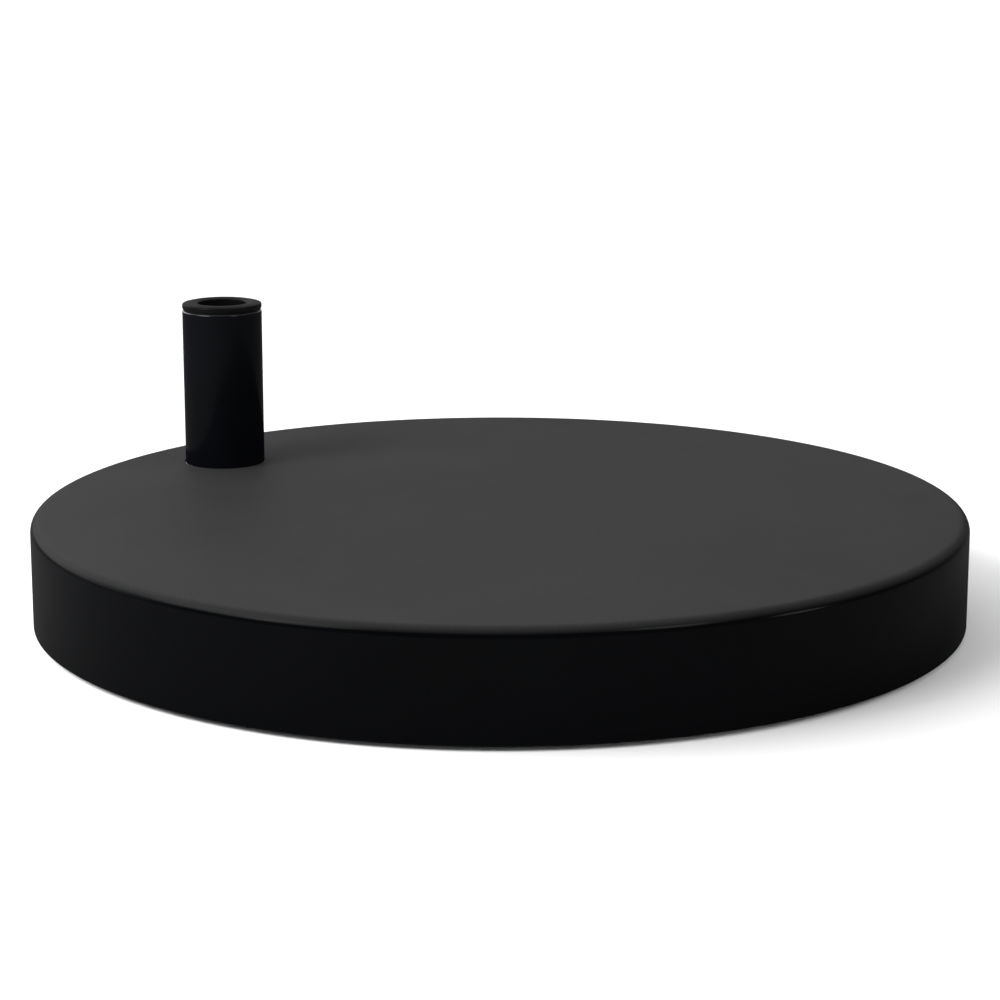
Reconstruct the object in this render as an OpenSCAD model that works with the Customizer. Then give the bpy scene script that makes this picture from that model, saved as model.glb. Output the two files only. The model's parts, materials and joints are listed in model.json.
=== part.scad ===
// Parasol base: a concrete weight in a round steel cover, with a pole socket near its edge.
// The frame's origin is the disc's centre on the floor, +Z is up and the socket stands on +Y.

/* [Disc] */
// Outside diameter of the cover
disc_d = 700; // [680:5:760]
// Height of the cover's top above the floor
disc_top = 82; // [78:1:92]
// Height of the skirt's lower edge above the floor
skirt_gap = 3.5; // [3:0.5:4.5]
// Thickness of the cover's steel
cover_t = 2; // [1.5:0.5:2.5]
// Outside radius of the cover's top edge
cover_round = 8; // [4:0.5:10]

/* [Pole socket] */
// Distance from the disc's centre to the pole's axis
socket_offset = 275; // [260:1:280]
// Height of the bush's top above the cover's top
socket_rise = 130; // [125:0.5:150]
// Outside diameter of the socket tube
tube_d = 63.5; // [62:0.5:66]
// Wall of the socket tube
tube_wall = 5; // [4.5:0.5:5.5]
// Outside diameter of the pole that the socket takes
pole_d = 38; // [37:0.5:38.5]
// Difference between the bore's and the pole's diameters
pole_play = 0.4; // [0.2:0.1:0.6]

/* [Upper bush] */
// Height of the flange above the groove
flange_h = 4.8; // [3.5:0.1:6]
// Height of the groove under the flange
neck_h = 1.5; // [1:0.1:3]
// Depth of the groove under the flange
neck_depth = 0.7; // [0.4:0.1:1.5]
// Length of the spigot inside the tube
spigot_l = 44; // [30:1:44]

/* [Clamp] */
// Height of the lower clamp screw above the cover's top
clamp_low = 25; // [18:1:28]
// Distance between the two clamp screws
clamp_pitch = 30; // [25:1:32]
// Thread diameter of a clamp screw
clamp_d = 8; // [6:1:8]
// Gap between a thrust pad and the pole at rest
pad_gap = 0.7; // [0.6:0.1:1]

/* [Weight] */
// Gap between the concrete slab and the cover's skirt
slab_gap = 1.5; // [1:0.5:3]
// Thickness of the foam under the cover's top
foam_t = 1.5; // [1:0.5:3]
// Thickness of the closing pan's steel
pan_t = 2; // [1.5:0.5:2]
// Height of the pan's underside, which is the feet's height, above the floor
pan_low = 14; // [14:0.5:16]

/* [Fastenings] */
// Number of studs that hold the stack together
stud_count = 6; // [3:3:6]
// Radius of the circle that the studs stand on
stud_circle = 235; // [220:1:250]
// Number of rubber feet
foot_count = 8; // [4:4:8]
// Radius of the circle that the feet stand on
foot_circle = 305; // [300:1:315]
// Diameter of a rubber foot
foot_d = 40; // [36:1:44]

/* [Hidden] */
$fn = 96;
eps = 0.01;

disc_r = disc_d / 2;
cover_in_r = disc_r - cover_t;
cover_under = disc_top - cover_t;

tube_r = tube_d / 2;
tube_in_r = tube_r - tube_wall;
bore_r = (pole_d + pole_play) / 2;
bush_top = disc_top + socket_rise;
tube_top = bush_top - flange_h - neck_h;
tube_rim = 1.5;
running = 0.1;
cover_hole_gap = 0.8;
cover_hole_r = tube_r + cover_hole_gap;

slab_r = cover_in_r - slab_gap;
slab_low = pan_low + pan_t;
slab_top = cover_under - foam_t;
slab_hole_r = tube_r + 2;

plate_t = 8;
plate_top = slab_low + plate_t;
plate_w = 150;
plate_out = 46;
plate_in = 100;
plate_corner = 10;
weld_leg = 4;
anchor_d = 10;
anchor_head_r = 10;
anchor_head_h = anchor_head_r - anchor_d / 2;
anchor_l = 30;
anchor_key_flats = 6;
anchor_key_depth = 3.5;
anchor_x = 58;
anchor_outer_y = 26;
anchor_inner_y = -78;
anchor_places = [for (x = [-anchor_x, anchor_x], y = [anchor_inner_y, anchor_outer_y]) [x, y]];
anchor_socket_r = 8;
anchor_socket_l = 36;
anchor_socket_foot_r = 11;
anchor_socket_foot_h = 3;
anchor_tap_spare = 2;
drain_r = 6;

stud_d = 8;
stud_low = skirt_gap + 0.8;
stud_weld_r = 5;
stud_weld_h = 1;
stud_washer_r = 12;
stud_washer_t = 2;
stud_nut_flats = 13;
stud_nut_h = 6.5;
sleeve_r = 7;
sleeve_bore_r = 5;

pan_r = cover_in_r - 0.3;
pan_flange_low = skirt_gap + 2;
pan_bead_in = 110;
pan_bead_out = 150;
pan_bead_h = 3;

foot_screw_d = 6;
foot_screw_l = 16;
foot_head_r = 5.25;
foot_head_h = 3.3;
foot_key_flats = 4;
foot_key_depth = 2;
foot_bore_r = 8;
foot_washer_r = 7.9;
foot_washer_t = 1.5;
foot_washer_low = 6;
foot_edge = 2;
insert_r = 4.5;
insert_l = 14;
insert_flange_r = 6.5;
insert_flange_t = 1;
insert_bulge_r = 6;
insert_bulge_h = 4;
insert_pocket_r = 8;

seal_depth = 10;
seal_low = 0.8;
seal_high = 0.2;

grommet_r = 12;
grommet_flange_r = 15;
grommet_flange_t = 2;
grommet_bore_r = 7;

lower_bush_h = 26;
lower_bush_lead = 4.8;
flute_w = 4;
flute_depth = 1.9;
upper_slot_w = 3;
upper_slot_l = spigot_l * 0.7;
mouth_round = 0.8;
flange_crown = 1;
flange_edge_z = bush_top - flange_crown;

clamp_hole_r = clamp_d / 2 + 0.05;
clamp_out = tube_r - 0.3;
clamp_shoulder = bore_r + 5;
clamp_key_flats = clamp_d / 2;
clamp_key_depth = 4;
dog_r = 2.5;
pad_r = 6;
pad_face = pole_d / 2 + pad_gap;
pad_back = clamp_shoulder - 0.4;
dog_tip = pad_back - 2.2;
clamp_z = disc_top + clamp_low;

// A nut's or key's corner radius from its width across flats
function corner_r(flats) = flats / 2 / cos(30);

// Half section of a round slab whose top outer edge is rounded
module edge_rounded(r, low, high, edge) {
    translate([0, low]) square([r, high - low - edge]);
    translate([0, low]) square([r - edge, high - low]);
    translate([r - edge, high - edge]) circle(r = edge);
}

// A plain upright cylinder between two heights
module rod(r, low, high) {
    translate([0, 0, low]) cylinder(r = r, h = high - low);
}

// A washer or a length of tube between two heights
module ring(r, hole_r, low, high) {
    difference() {
        rod(r, low, high);
        rod(hole_r, low - 1, high + 1);
    }
}

module at_socket() {
    translate([0, socket_offset, 0]) children();
}

module at_studs() {
    for (i = [0 : stud_count - 1])
        rotate(i * 360 / stud_count) translate([stud_circle, 0, 0]) children();
}

// The feet stand either side of the socket, never under it
module at_feet() {
    for (i = [0 : foot_count - 1])
        rotate((i + 0.5) * 360 / foot_count) translate([foot_circle, 0, 0]) children();
}

module at_anchors() {
    for (p = anchor_places)
        translate([p[0], socket_offset + p[1], 0]) children();
}

// A hexagon prism between two heights, corners chamfered at both ends
module hexagon(flats, low, high) {
    chamfer = corner_r(flats) - flats / 2;
    intersection() {
        translate([0, 0, low]) cylinder(r = corner_r(flats), h = high - low, $fn = 6);
        rotate_extrude()
            polygon([
                [0, low], [flats / 2, low], [corner_r(flats), low + chamfer * 0.6],
                [corner_r(flats), high - chamfer * 0.6], [flats / 2, high], [0, high]
            ]);
    }
}

module cover_shell() {
    color([0.05, 0.05, 0.06])
        difference() {
            rotate_extrude()
                difference() {
                    edge_rounded(disc_r, skirt_gap, disc_top, cover_round);
                    edge_rounded(cover_in_r, skirt_gap - 1, cover_under, cover_round - cover_t / 2);
                }
            at_socket() rod(cover_hole_r, cover_under - 1, disc_top + 1);
        }
}

module damping_sheet() {
    color([0.25, 0.25, 0.27])
        difference() {
            rod(slab_r - cover_round, slab_top, cover_under);
            at_socket() rod(slab_hole_r + 0.5, slab_top - 1, cover_under + 1);
            at_studs() rod(sleeve_r, slab_top - 1, cover_under + 1);
        }
}

module anchor_plate_outline() {
    inner = [plate_w - 2 * plate_corner, plate_in + plate_out - 2 * plate_corner];
    translate([-inner[0] / 2, plate_corner - plate_in]) {
        translate([-plate_corner, 0]) square([inner[0] + 2 * plate_corner, inner[1]]);
        translate([0, -plate_corner]) square([inner[0], inner[1] + 2 * plate_corner]);
        for (x = [0, inner[0]], y = [0, inner[1]])
            translate([x, y]) circle(r = plate_corner);
    }
}

module anchor_socket_body() {
    rod(anchor_socket_r, plate_top, plate_top + anchor_socket_l);
    rod(anchor_socket_foot_r, plate_top + anchor_socket_l - anchor_socket_foot_h,
        plate_top + anchor_socket_l);
}

module ballast_slab() {
    color([0.55, 0.54, 0.52])
        difference() {
            rotate_extrude()
                edge_rounded(slab_r, slab_low, slab_top, cover_round);
            at_socket() rod(slab_hole_r, slab_low - 1, slab_top + 1);
            at_socket() rod(tube_r + weld_leg + 1, slab_low - 1, plate_top + weld_leg + 1);
            at_socket()
                translate([0, 0, slab_low - 1])
                    linear_extrude(height = plate_t + 1) anchor_plate_outline();
            at_anchors() anchor_socket_body();
            at_studs() rod(sleeve_r, slab_low - 1, slab_top + 1);
            at_feet() rod(insert_pocket_r, slab_low - 1, slab_low + insert_l + 1);
        }
}

module weld_studs() {
    color([0.72, 0.72, 0.7])
        at_studs() {
            rod(stud_d / 2, stud_low + 1, cover_under);
            translate([0, 0, stud_low]) cylinder(r1 = stud_d / 2 - 1, r2 = stud_d / 2, h = 1);
            rod(stud_weld_r, cover_under - stud_weld_h, cover_under);
        }
}

module stud_sleeves() {
    color([0.82, 0.8, 0.74])
        at_studs() ring(sleeve_r, sleeve_bore_r, slab_low, slab_top);
}

module stud_washers() {
    color([0.72, 0.72, 0.7])
        at_studs() ring(stud_washer_r, stud_d / 2 + 0.2, pan_low - stud_washer_t, pan_low);
}

module stud_nuts() {
    nut_top = pan_low - stud_washer_t;
    color([0.72, 0.72, 0.7])
        at_studs()
            difference() {
                hexagon(stud_nut_flats, nut_top - stud_nut_h, nut_top);
                rod(stud_d / 2, nut_top - stud_nut_h - 1, nut_top + 1);
            }
}

// The pan's section runs out along its underside, round the turned-down rim and back on top
module bottom_pan() {
    color([0.66, 0.67, 0.67])
        difference() {
            rotate_extrude()
                polygon([
                    [0, pan_low], [pan_bead_in, pan_low],
                    [pan_bead_in + pan_bead_h, pan_low - pan_bead_h],
                    [pan_bead_out - pan_bead_h, pan_low - pan_bead_h], [pan_bead_out, pan_low],
                    [pan_r - pan_t, pan_low], [pan_r - pan_t, pan_flange_low],
                    [pan_r, pan_flange_low], [pan_r, slab_low], [pan_bead_out, slab_low],
                    [pan_bead_out - pan_bead_h, slab_low - pan_bead_h],
                    [pan_bead_in + pan_bead_h, slab_low - pan_bead_h],
                    [pan_bead_in, slab_low], [0, slab_low]
                ]);
            at_studs() rod(stud_d / 2 + 0.5, pan_low - 1, slab_low + 1);
            at_feet() rod(insert_r, pan_low - 1, slab_low + 1);
            at_socket() rod(grommet_r, pan_low - 1, slab_low + 1);
        }
}

// Foot plate with the fillet weld that joins it to the tube
module anchor_plate() {
    color([0.3, 0.3, 0.31])
        difference() {
            at_socket() {
                translate([0, 0, slab_low])
                    linear_extrude(height = plate_t) anchor_plate_outline();
                rotate_extrude()
                    polygon([
                        [tube_r, plate_top - 1], [tube_r + weld_leg, plate_top - 1],
                        [tube_r + weld_leg, plate_top], [tube_r, plate_top + weld_leg]
                    ]);
            }
            at_socket() rod(drain_r, slab_low - 1, plate_top + 1);
            at_anchors() {
                rod(anchor_d / 2 + 0.5, slab_low - 1, plate_top + 1);
                translate([0, 0, slab_low])
                    cylinder(r1 = anchor_head_r, r2 = anchor_d / 2, h = anchor_head_h);
            }
        }
}

module anchor_sockets() {
    color([0.72, 0.72, 0.7])
        at_anchors()
            difference() {
                anchor_socket_body();
                rod(anchor_d / 2, plate_top - 1, plate_top + anchor_l - plate_t + anchor_tap_spare);
            }
}

module anchor_screws() {
    color([0.72, 0.72, 0.7])
        at_anchors()
            difference() {
                union() {
                    translate([0, 0, slab_low])
                        cylinder(r1 = anchor_head_r, r2 = anchor_d / 2, h = anchor_head_h);
                    rod(anchor_d / 2, slab_low + anchor_head_h, slab_low + anchor_l);
                }
                translate([0, 0, slab_low - 1])
                    cylinder(r = corner_r(anchor_key_flats), h = anchor_key_depth + 1, $fn = 6);
            }
}

module socket_tube() {
    color([0.04, 0.04, 0.045])
        at_socket()
            difference() {
                rotate_extrude()
                    edge_rounded(tube_r, plate_top, tube_top, tube_rim);
                rod(tube_in_r, plate_top - 1, tube_top + 1);
                for (z = [clamp_z, clamp_z + clamp_pitch])
                    translate([0, 0, z]) rotate([-90, 0, 0]) cylinder(r = clamp_hole_r, h = tube_d);
            }
}

// Fills the slab's hole round the tube, with a thin lip up to the cover's surface
module tube_seal() {
    color([0.06, 0.06, 0.06])
        at_socket()
            rotate_extrude()
                polygon([
                    [tube_r, slab_top - seal_depth], [slab_hole_r, slab_top - seal_depth],
                    [slab_hole_r, cover_under], [cover_hole_r, cover_under],
                    [cover_hole_r, disc_top - seal_low], [tube_r, disc_top - seal_high]
                ]);
}

module lower_bush() {
    color([0.1, 0.1, 0.1])
        at_socket()
            difference() {
                rod(tube_in_r - running, plate_top, plate_top + lower_bush_h);
                rod(bore_r, plate_top - 1, plate_top + lower_bush_h + 1);
                translate([0, 0, plate_top + lower_bush_h - lower_bush_lead])
                    cylinder(r1 = bore_r, r2 = bore_r + lower_bush_lead + eps, h = lower_bush_lead + eps);
                for (a = [45 : 90 : 315])
                    rotate(a) translate([tube_in_r - running - flute_depth, -flute_w / 2, plate_top - 1])
                        cube([flute_depth + 1, flute_w, lower_bush_h + 2]);
            }
}

module drain_grommet() {
    color([0.08, 0.08, 0.08])
        at_socket()
            difference() {
                union() {
                    rod(grommet_r, pan_low - 1, slab_low);
                    rod(grommet_flange_r, pan_low - grommet_flange_t, pan_low);
                }
                rod(grommet_bore_r, pan_low - grommet_flange_t - 1, slab_low + 1);
            }
}

module rubber_feet() {
    color([0.09, 0.09, 0.09])
        at_feet()
            difference() {
                mirror([0, 0, 1])
                    rotate_extrude()
                        edge_rounded(foot_d / 2, -pan_low, 0, foot_edge);
                rod(foot_bore_r, -1, foot_washer_low + foot_washer_t);
                rod(foot_screw_d / 2 + 1, 0, pan_low + 1);
                rod(insert_flange_r + 0.5, pan_low - insert_flange_t, pan_low + 1);
            }
}

module foot_washers() {
    color([0.72, 0.72, 0.7])
        at_feet()
            ring(foot_washer_r, foot_screw_d / 2 + 0.2, foot_washer_low,
                foot_washer_low + foot_washer_t);
}

module foot_screws() {
    color([0.72, 0.72, 0.7])
        at_feet()
            difference() {
                union() {
                    mirror([0, 0, 1])
                        rotate_extrude()
                            edge_rounded(foot_head_r, -foot_washer_low,
                                foot_head_h - foot_washer_low, foot_head_h / 2);
                    rod(foot_screw_d / 2, foot_washer_low - 1, foot_washer_low + foot_screw_l);
                }
                translate([0, 0, foot_washer_low - foot_head_h - 1])
                    cylinder(r = corner_r(foot_key_flats), h = foot_key_depth + 1, $fn = 6);
            }
}

module foot_inserts() {
    color([0.72, 0.72, 0.7])
        at_feet()
            difference() {
                union() {
                    rod(insert_flange_r, pan_low - insert_flange_t, pan_low);
                    rod(insert_r, pan_low - insert_flange_t, pan_low + insert_l);
                    rod(insert_bulge_r, slab_low, slab_low + insert_bulge_h);
                }
                rod(foot_screw_d / 2, pan_low - insert_flange_t - 1, pan_low + insert_l + 1);
            }
}

// Half section of the bush's flange: a rounded outer edge and a shallow crown that starts inside it
module flange_section() {
    half = (tube_r - tube_rim - bore_r - mouth_round) / 2;
    crown_r = (half * half + flange_crown * flange_crown) / 2 / flange_crown;
    edge_rounded(tube_r, bush_top - flange_h, flange_edge_z, tube_rim);
    intersection() {
        translate([tube_r - tube_rim - half, bush_top - crown_r]) circle(r = crown_r);
        translate([bore_r + mouth_round, flange_edge_z - mouth_round])
            square([2 * half, flange_crown + mouth_round]);
    }
}

// Flanged pole bush: its slotted spigot drops into the tube and its flange hangs on a short neck
module upper_bush() {
    color([0.07, 0.07, 0.075])
        at_socket()
            difference() {
                union() {
                    rod(tube_in_r - running, tube_top - spigot_l, tube_top + neck_h);
                    rod(tube_r - neck_depth, tube_top, tube_top + neck_h);
                    rotate_extrude() flange_section();
                }
                rod(bore_r, tube_top - spigot_l - 1, bush_top + 1);
                rotate_extrude()
                    difference() {
                        translate([bore_r - 1, flange_edge_z - mouth_round])
                            square([1 + mouth_round, 1 + mouth_round]);
                        translate([bore_r + mouth_round, flange_edge_z - mouth_round])
                            circle(r = mouth_round);
                    }
                for (a = [0 : 90 : 270])
                    rotate(a) translate([0, -upper_slot_w / 2, tube_top - spigot_l - 1])
                        cube([tube_r, upper_slot_w, upper_slot_l + 1]);
            }
}

// Pad hollowed to the pole's curve, with a blind hole for the screw's dog point
module thrust_pad(z) {
    color([0.85, 0.84, 0.8])
        at_socket()
            difference() {
                translate([0, 0, z]) rotate([-90, 0, 0]) rod(pad_r, bore_r - 4, pad_back);
                rod(pad_face, z - pad_r - 1, z + pad_r + 1);
                translate([0, 0, z]) rotate([-90, 0, 0]) rod(dog_r + 0.05, dog_tip - 0.1, pad_back + 1);
            }
}

// Flush hex-socket screw with a dog point
module clamp_screw(z) {
    color([0.5, 0.5, 0.5])
        at_socket()
            translate([0, 0, z])
                rotate([-90, 0, 0])
                    difference() {
                        union() {
                            rod(dog_r, dog_tip, clamp_shoulder + 1);
                            rotate_extrude()
                                polygon([
                                    [0, clamp_shoulder], [clamp_d / 2 - 0.8, clamp_shoulder],
                                    [clamp_d / 2, clamp_shoulder + 0.8],
                                    [clamp_d / 2, clamp_out - 0.6],
                                    [clamp_d / 2 - 0.6, clamp_out], [0, clamp_out]
                                ]);
                        }
                        translate([0, 0, clamp_out - clamp_key_depth])
                            cylinder(r = corner_r(clamp_key_flats), h = clamp_key_depth + 1, $fn = 6);
                    }
}

module thrust_pad_upper() {
    thrust_pad(clamp_z + clamp_pitch);
}

module thrust_pad_lower() {
    thrust_pad(clamp_z);
}

module clamp_screw_upper() {
    clamp_screw(clamp_z + clamp_pitch);
}

module clamp_screw_lower() {
    clamp_screw(clamp_z);
}

cover_shell();
damping_sheet();
ballast_slab();
weld_studs();
stud_sleeves();
stud_washers();
stud_nuts();
bottom_pan();
anchor_plate();
anchor_sockets();
anchor_screws();
socket_tube();
tube_seal();
lower_bush();
drain_grommet();
rubber_feet();
foot_washers();
foot_screws();
foot_inserts();
upper_bush();
thrust_pad_upper();
thrust_pad_lower();
clamp_screw_upper();
clamp_screw_lower();
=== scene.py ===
"""Visible surfaces, finishes, floor, lights and camera for a round parasol base with an off-centre socket."""

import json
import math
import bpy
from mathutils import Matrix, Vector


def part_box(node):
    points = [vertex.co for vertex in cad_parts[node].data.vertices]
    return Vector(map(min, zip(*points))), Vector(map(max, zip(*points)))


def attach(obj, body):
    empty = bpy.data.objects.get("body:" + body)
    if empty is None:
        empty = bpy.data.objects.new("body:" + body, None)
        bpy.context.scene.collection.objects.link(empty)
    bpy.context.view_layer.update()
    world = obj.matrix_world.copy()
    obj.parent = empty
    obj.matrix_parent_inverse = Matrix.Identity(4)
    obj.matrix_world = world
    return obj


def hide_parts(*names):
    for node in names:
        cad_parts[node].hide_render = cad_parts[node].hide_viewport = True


bl_info = {
    "name": "Parasol Base",
    "version": (1, 0, 0),
    "blender": (4, 5, 0),
    "location": "3D View > Sidebar > Parasol Base",
    "description": "Builds the surfaces and finishes of a steel-covered concrete parasol base",
    "category": "Object",
}

import bmesh
import bpy
import numpy as np

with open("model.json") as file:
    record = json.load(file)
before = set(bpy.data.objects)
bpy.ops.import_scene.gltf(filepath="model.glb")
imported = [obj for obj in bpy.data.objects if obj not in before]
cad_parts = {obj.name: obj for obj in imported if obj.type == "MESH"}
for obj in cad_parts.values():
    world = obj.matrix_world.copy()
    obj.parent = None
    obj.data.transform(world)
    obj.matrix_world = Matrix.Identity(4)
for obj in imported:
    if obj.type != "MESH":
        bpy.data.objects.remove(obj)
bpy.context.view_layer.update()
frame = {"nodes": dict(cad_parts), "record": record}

MM = 0.001
FULL_TURN = 2 * math.pi
SHARP_ANGLE = math.radians(32)


def reach(node):
    """Lowest and highest corner of a CAD node as two arrays."""
    low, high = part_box(node)
    return np.array(low), np.array(high)


# Sizes read from the frame
COVER_LOW, COVER_HIGH = reach("cover_shell")
TUBE_LOW, TUBE_HIGH = reach("socket_tube")
BUSH_LOW, BUSH_HIGH = reach("upper_bush")
SEAL_LOW, SEAL_HIGH = reach("tube_seal")
PAN_LOW, PAN_HIGH = reach("bottom_pan")
STUD_LOW, STUD_HIGH = reach("weld_studs")
NUT_LOW, NUT_HIGH = reach("stud_nuts")
STUD_WASHER_LOW, STUD_WASHER_HIGH = reach("stud_washers")
FOOT_HIGH = reach("rubber_feet")[1]
FOOT_WASHER_LOW, FOOT_WASHER_HIGH = reach("foot_washers")
FOOT_SCREW_LOW, FOOT_SCREW_HIGH = reach("foot_screws")
GROMMET_LOW, GROMMET_HIGH = reach("drain_grommet")
CLAMP_BOXES = [reach("clamp_screw_upper"), reach("clamp_screw_lower")]

POLE_BORE = next(m for m in frame["record"]["mounts"] if m["name"] == "pole_bore")
BORE_R = POLE_BORE["dims"]["r_mm"] * MM
SOCKET = (POLE_BORE["pos_m"][0], POLE_BORE["pos_m"][1])
DISC_R = COVER_HIGH[0]
DISC_TOP = COVER_HIGH[2]
SKIRT_LOW = COVER_LOW[2]
TUBE_R = TUBE_HIGH[0]
UNDER_PAN = STUD_WASHER_HIGH[2]
STUD_ANGLES = np.arange(6) * FULL_TURN / 6
FOOT_ANGLES = (np.arange(8) + 0.5) * FULL_TURN / 8
STUD_WASHER_R = 12 * MM
FOOT_R = 20 * MM
STUD_CIRCLE = STUD_WASHER_HIGH[0] - STUD_WASHER_R
FOOT_CIRCLE = (FOOT_HIGH[0] - FOOT_R) / math.cos(FOOT_ANGLES[0])

# Standard sizes of the 8 mm screws and studs, and of the keys and holes that suit them
SCREW_R = 4 * MM
TAPPED_R = 4.05 * MM
KEY_FLATS = 4 * MM
KEY_CHAMFER = 0.15 * MM
NUT_FLATS = 13 * MM
PAN_HOLE_R = 4.5 * MM

# Neck of the rain outlet, and the pan's hole that it passes through
NECK_R = 12 * MM

# The stage, in metres, and the camera's film in millimetres
FLOOR_HALF = 40.0
PANEL_SIZE = 1.0
PANEL_AWAY = 1.35
PANEL_ABOVE = 1.1
FILM_WIDTH = 36.0

# Node groups by label and materials by finish, filled as they are made
GROUPS = {}
MATERIALS = {}


class ParasolCoverSizes(bpy.types.PropertyGroup):
    """Sizes of the pressed cover and the pan under it"""

    sheet: bpy.props.FloatProperty(
        name="Sheet", description="Thickness of the cover's steel", default=2 * MM, unit="LENGTH"
    )
    top_round: bpy.props.FloatProperty(
        name="Top edge", description="Outside radius of the cover's top edge", default=8 * MM, unit="LENGTH"
    )
    hole_gap: bpy.props.FloatProperty(
        name="Hole gap", description="Gap between the cover and the tube", default=0.8 * MM, unit="LENGTH"
    )
    hole_lip: bpy.props.FloatProperty(
        name="Hole lip", description="Radius that rounds the hole's rim", default=0.3 * MM, unit="LENGTH"
    )
    segments: bpy.props.IntProperty(
        name="Segments", description="Points round the cover's rim", default=512
    )
    bead_in: bpy.props.FloatProperty(
        name="Bead inside", description="Inner radius of the pan's bead", default=110 * MM, unit="LENGTH"
    )
    bead_out: bpy.props.FloatProperty(
        name="Bead outside", description="Outer radius of the pan's bead", default=150 * MM, unit="LENGTH"
    )


class ParasolSocketSizes(bpy.types.PropertyGroup):
    """Sizes of the tube, its bush and its screws"""

    wall: bpy.props.FloatProperty(
        name="Wall", description="Wall of the socket tube", default=5 * MM, unit="LENGTH"
    )
    rim: bpy.props.FloatProperty(
        name="Rim", description="Radius of the tube's rim and the bush's edge",
        default=1.5 * MM, unit="LENGTH",
    )
    flange: bpy.props.FloatProperty(
        name="Flange", description="Height of the bush's flange", default=4.8 * MM, unit="LENGTH"
    )
    crown: bpy.props.FloatProperty(
        name="Crown", description="Rise of the flange's top between its edges", default=1 * MM, unit="LENGTH"
    )
    mouth: bpy.props.FloatProperty(
        name="Mouth", description="Radius that rounds the bore's mouth", default=0.8 * MM, unit="LENGTH"
    )
    neck: bpy.props.FloatProperty(
        name="Neck", description="Height of the groove under the flange", default=1.5 * MM, unit="LENGTH"
    )
    neck_depth: bpy.props.FloatProperty(
        name="Neck depth", description="Depth of the groove", default=0.7 * MM, unit="LENGTH"
    )
    slot_width: bpy.props.FloatProperty(
        name="Slot", description="Width of the spigot's slots", default=3 * MM, unit="LENGTH"
    )
    thread_pitch: bpy.props.FloatProperty(
        name="Thread pitch", description="Pitch of the 8 mm threads", default=1.25 * MM, unit="LENGTH"
    )


class ParasolFinishes(bpy.types.PropertyGroup):
    """Colours and gloss"""

    coat: bpy.props.FloatVectorProperty(
        name="Coat", description="Colour of the powder coat",
        default=(0.0008, 0.0009, 0.0012), subtype="COLOR",
    )
    film: bpy.props.FloatVectorProperty(
        name="Film", description="Colour of the dusty film and painted sheen on top",
        default=(0.3, 0.3, 0.3), subtype="COLOR",
    )
    coat_shine: bpy.props.FloatProperty(
        name="Coat shine", description="Weight of the powder coat's clear layer", default=0.045
    )
    coat_roughness: bpy.props.FloatProperty(
        name="Coat roughness", description="Roughness of the powder coat on upright faces", default=0.17
    )
    top_roughness: bpy.props.FloatProperty(
        name="Top roughness", description="Roughness of the powder coat on faces that look up", default=0.6
    )
    plastic: bpy.props.FloatVectorProperty(
        name="Plastic", description="Colour of the bushes", default=(0.003, 0.003, 0.0034), subtype="COLOR"
    )
    rubber: bpy.props.FloatVectorProperty(
        name="Rubber", description="Colour of the feet and seals",
        default=(0.012, 0.012, 0.012), subtype="COLOR",
    )
    zinc: bpy.props.FloatVectorProperty(
        name="Zinc", description="Colour of the plated fastenings", default=(0.62, 0.62, 0.6), subtype="COLOR"
    )
    galvanised: bpy.props.FloatVectorProperty(
        name="Galvanised", description="Colour of the closing pan", default=(0.5, 0.52, 0.53), subtype="COLOR"
    )
    concrete: bpy.props.FloatVectorProperty(
        name="Concrete", description="Colour of the ballast slab", default=(0.42, 0.41, 0.38), subtype="COLOR"
    )


class ParasolStage(bpy.types.PropertyGroup):
    """Camera, floor and lights"""

    azimuth: bpy.props.FloatProperty(
        name="Azimuth", description="Turn of the camera round the disc",
        default=math.radians(-54.1), subtype="ANGLE",
    )
    pitch: bpy.props.FloatProperty(
        name="Pitch", description="How far the camera looks down",
        default=math.radians(12.78), subtype="ANGLE",
    )
    distance: bpy.props.FloatProperty(
        name="Distance", description="Camera to disc axis, level", default=2.03, unit="LENGTH"
    )
    rise: bpy.props.FloatProperty(
        name="Rise", description="Camera above the disc's top", default=0.464, unit="LENGTH"
    )
    lens: bpy.props.FloatProperty(
        name="Lens", description="Focal length in millimetres", default=99.4
    )
    surround: bpy.props.FloatProperty(
        name="Surround", description="Strength of the light from all round", default=0.5
    )
    backdrop: bpy.props.FloatProperty(
        name="Backdrop", description="Strength of the broad light behind the object", default=3.0
    )
    lean: bpy.props.FloatProperty(
        name="Lean", description="How much brighter the backdrop is towards the left", default=1.4
    )
    panel: bpy.props.FloatProperty(
        name="Panel", description="Light from the large panel on the left, in watts", default=28.0
    )
    left_box: bpy.props.FloatProperty(
        name="Left box", description="Light from the soft box in front on the left", default=1.2
    )
    right_box: bpy.props.FloatProperty(
        name="Right box", description="Light from the soft box in front on the right", default=0.8
    )
    low_box: bpy.props.FloatProperty(
        name="Low box", description="Light from the low soft box on the right", default=0.5
    )
    floor: bpy.props.FloatVectorProperty(
        name="Floor", description="Colour of the floor", default=(0.8, 0.8, 0.8), subtype="COLOR"
    )


# ---------------------------------------------------------------- surfaces


def unit(vectors):
    """Each row divided by its own length."""
    return vectors / np.linalg.norm(vectors, axis=-1, keepdims=True)


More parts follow.
